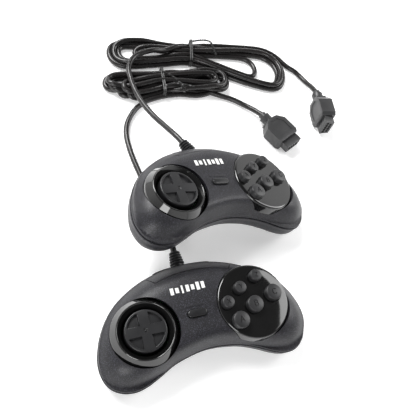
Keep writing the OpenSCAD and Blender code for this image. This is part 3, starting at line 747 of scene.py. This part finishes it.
def boot(turn):
    """Smooth neck through the insert, then five rounded ribs, bent sideways by turn degrees."""
    neck = lathe([(0, 0), (5, 0), (5, 1.8), (4.25, 1.8), (4.25, 6.5), (4.0, 6.8), (0, 6.8)], 64)
    prof = [(0, -2.5), (3.4, -2.5), (3.85, 0), (3.8, 0.9)]
    y, r = 1.3, 4.95
    for _ in range(5):
        prof += [(r - 0.95, y - 0.3), (r - 0.28, y), (r, y + 0.3), (r, y + 0.75), (r - 0.28, y + 1.05),
                 (r - 1.0, y + 1.3)]
        y += 1.9
        r -= 0.3
    prof += [(2.75, 10.3), (2.5, 10.8), (0, 10.8)]
    ribs = lathe(prof, 64)
    a = math.radians(turn)
    lay = lambda s: (s[0][:, [0, 2, 1]], s[1])
    neck, ribs = lay(neck), lay(ribs)
    v = ribs[0]
    v = np.stack([v[:, 0] * math.cos(a) - v[:, 1] * math.sin(a), v[:, 0] * math.sin(a) + v[:, 1] * math.cos(a) + 6.8,
                  v[:, 2]], 1)
    return shifted(joined(neck, (v, ribs[1])), -4.5, 32.8, 10.4)


def label_bar():
    rings = []
    for l, w, dz in ((12.6, 1.5, -0.4), (12.6, 1.5, 0.12), (12.4, 1.3, 0.22), (12.0, 0.9, 0.26)):
        o = stadium(l, w) + (START[0] - 0.2, START[1] + 5.1)
        rings.append(np.c_[o, skin_z(o) + dz])
    return loft(rings)


def mark():
    """Seven pale printed blocks in a row, lying on the skin."""
    blocks = []
    for i in range(7):
        w, h = (1.1, 2.1)[i != 2] / 2, (4.4, 3.4, 5.2)[i % 3] / 2
        x, y = -16.2 + i * 3.35, 18.4 + 0.12 * i
        o = np.array([(x + a * w, y + b * h) for a, b in ((-1, -1), (-1, -0.5), (-1, 0), (-1, 0.5), (-1, 1), (1, 1),
                                                          (1, 0.5), (1, 0), (1, -0.5), (1, -1))])
        z = skin_z(o)
        blocks.append(loft([np.c_[o, z - 0.5], np.c_[o, z + 0.13]]))
    return joined(*blocks)


keys = [button(i) for i in range(6)]
the_disc, the_pill, the_insert, the_bar = disc(), pill_key(), insert(), label_bar()
for k in "ba":
    root = ROOT[k]
    put(f"{k}_skin_top", *top, M["shell"], root, "shell", (f"{k}_top_shell",), k)
    put(f"{k}_skin_cover", *cover, M["shell"], root, "shell", (f"{k}_rear_panel",), k)
    put(f"{k}_skin_base", *bottom, M["shell"], root, "shell", (f"{k}_bottom_shell",), k)
    put(f"{k}_bezel_ring", *bezel, M["gloss"], root, "gloss_black", (f"{k}_dpad_bezel",), k)
    put(f"{k}_key_plate", *plate, M["gloss"], root, "gloss_black", (f"{k}_button_plate",), k)
    put(f"{k}_insert_bar", *the_insert, M["gloss"], root, "gloss_black", (f"{k}_rear_insert",), k)
    put(f"{k}_ribbed_boot", *boot(20 if k == "a" else 0), M["boot"], root, "boot", (f"{k}_strain_relief",), k)
    put(f"{k}_print", *mark(), M["print"], root, "print", (f"{k}_front_mark",), k)
    put(f"{k}_label_bar", *the_bar, M["shell"], root, "shell", (), k)
    for i, c in enumerate("abcxyz"):
        put(f"{k}_key_{c}", *keys[i], M["keys"], f"{k}_button_{c}", "keys", (f"{k}_button_{c}",), k)
    put(f"{k}_start_key", *the_pill, M["start"], f"{k}_start_button", "start", (f"{k}_start_button",), k)
    put(f"{k}_rocker", *the_disc, M["disc"], f"{k}_dpad", "keys", (f"{k}_dpad",), k)

# ---------------------------------------------------------------- carried-over nodes
LOOK = {"housing_screws": "screw", "dpad_pivot": "keys", "dpad_mat": "membrane", "button_mat": "membrane",
        "start_mat": "membrane", "circuit_board": "board", "board_parts": "parts",
        "plug_body": "plug", "plug_nose": "plug", "plug_contacts": "contact"}
for k in "ba":
    for n, look in LOOK.items():
        o = nodes[f"{k}_{n}"]
        o.data.materials.clear()
        o.data.materials.append(M[look])
        for f in o.data.polygons:
            f.use_smooth = True
        weld = o.modifiers.new("weld", "WELD")
        weld.merge_threshold = 1e-5
        if n in ("plug_body", "plug_nose"):
            bev = o.modifiers.new("bevel", "BEVEL")
            bev.width = 0.55 * MM if n == "plug_body" else 0.3 * MM
            bev.segments = 3
            bev.limit_method = "ANGLE"
            bev.angle_limit = math.radians(28)
            bev.harden_normals = True

# Where each plug lies, its face along +X, and the places of the holes in that face.
PLUG = {
    "b": Matrix.Translation((97, 156.5, 6.1)) @ Matrix.Rotation(math.radians(-63), 4, "Z"),
    "a": Matrix.Translation((151.5, 170.5, 10.4)) @ Matrix.Rotation(math.radians(-97), 4, "Z")
    @ Matrix.Rotation(math.radians(90), 4, "X"),
}
HOLE_PITCH, HALF_ROW_GAP, RING_BASE = 2.77, 1.42, 36.8
for k in "ba":
    holes = [(j * HOLE_PITCH, HALF_ROW_GAP) for j in (-2, -1, 0, 1, 2)]
    holes += [(j * HOLE_PITCH, -HALF_ROW_GAP) for j in (-1.5, -0.5, 0.5, 1.5)]
    rings = []
    for y, z in holes:
        v, f = lathe([(0, 0.35), (0.62, 0.35), (0.72, 0.38), (0.98, 0.38), (1.02, 0.3), (1.02, -0.4), (0, -0.4)], 32)
        rings.append((np.stack([RING_BASE + v[:, 2], y + v[:, 0], z + v[:, 1]], 1), f))
    v, f = joined(*rings)
    # Dark pellets in the plug face: painted shade put where the socket openings lie in shadow.
    put(f"{k}_socket_shade", moved(v, PLUG[k]), f, M["hole"], ROOT[k], "plug")

# ---------------------------------------------------------------- floor and light
bm = bmesh.new()
bmesh.ops.create_grid(bm, x_segments=2, y_segments=2, size=3)
me = bpy.data.meshes.new("floor")
bm.to_mesh(me)
bm.free()
floor = bpy.data.objects.new("floor", me)
floor.location.z = -0.0002
bpy.context.scene.collection.objects.link(floor)
white = material("floor", (0.93, 0.93, 0.93), 0.6, tint=(0.95, 0.95, 0.95), tint_scale=3, spec=0.2)
lit = white.node_tree.nodes["Principled BSDF"].inputs
lit["Emission Color"].default_value = (1, 1, 1, 1)
lit["Emission Strength"].default_value = 0.3
me.materials.append(white)

# A studio dome: bright low down, darker overhead, so level glossy faces stay black.
world = bpy.data.worlds.new("world")
bpy.context.scene.world = world
world.use_nodes = True
wt = world.node_tree
way = wt.nodes.new("ShaderNodeSeparateXYZ")
wt.links.new(wt.nodes.new("ShaderNodeTexCoord").outputs["Generated"], way.inputs[0])
fade = wt.nodes.new("ShaderNodeMapRange")
fade.interpolation_type = "SMOOTHSTEP"
for key, value in (("From Min", 0.3), ("From Max", 0.66), ("To Min", 1.1), ("To Max", 0.12)):
    fade.inputs[key].default_value = value
wt.links.new(way.outputs["Z"], fade.inputs["Value"])
wt.nodes["Background"].inputs["Color"].default_value = (1, 1, 1, 1)
wt.links.new(fade.outputs["Result"], wt.nodes["Background"].inputs["Strength"])


def light(name, at, look, size, power, size_y=None):
    d = bpy.data.lights.new(name, "AREA")
    d.shape = "RECTANGLE"
    d.size, d.size_y = size, size_y or size
    d.energy = power
    o = bpy.data.objects.new(name, d)
    bpy.context.scene.collection.objects.link(o)
    o.location = at
    o.rotation_euler = (Vector(look) - Vector(at)).to_track_quat("-Z", "Y").to_euler()


light("key", (-0.35, 0.85, 0.95), (0.02, 0.1, 0), 0.8, 19, 0.5)
light("side", (1.1, 0.25, 0.75), (0.02, 0.1, 0), 0.5, 7, 0.9)
light("front", (-0.75, -0.8, 0.75), (0.02, 0.05, 0), 0.6, 8)

bpy.context.scene.view_settings.view_transform = "Standard"
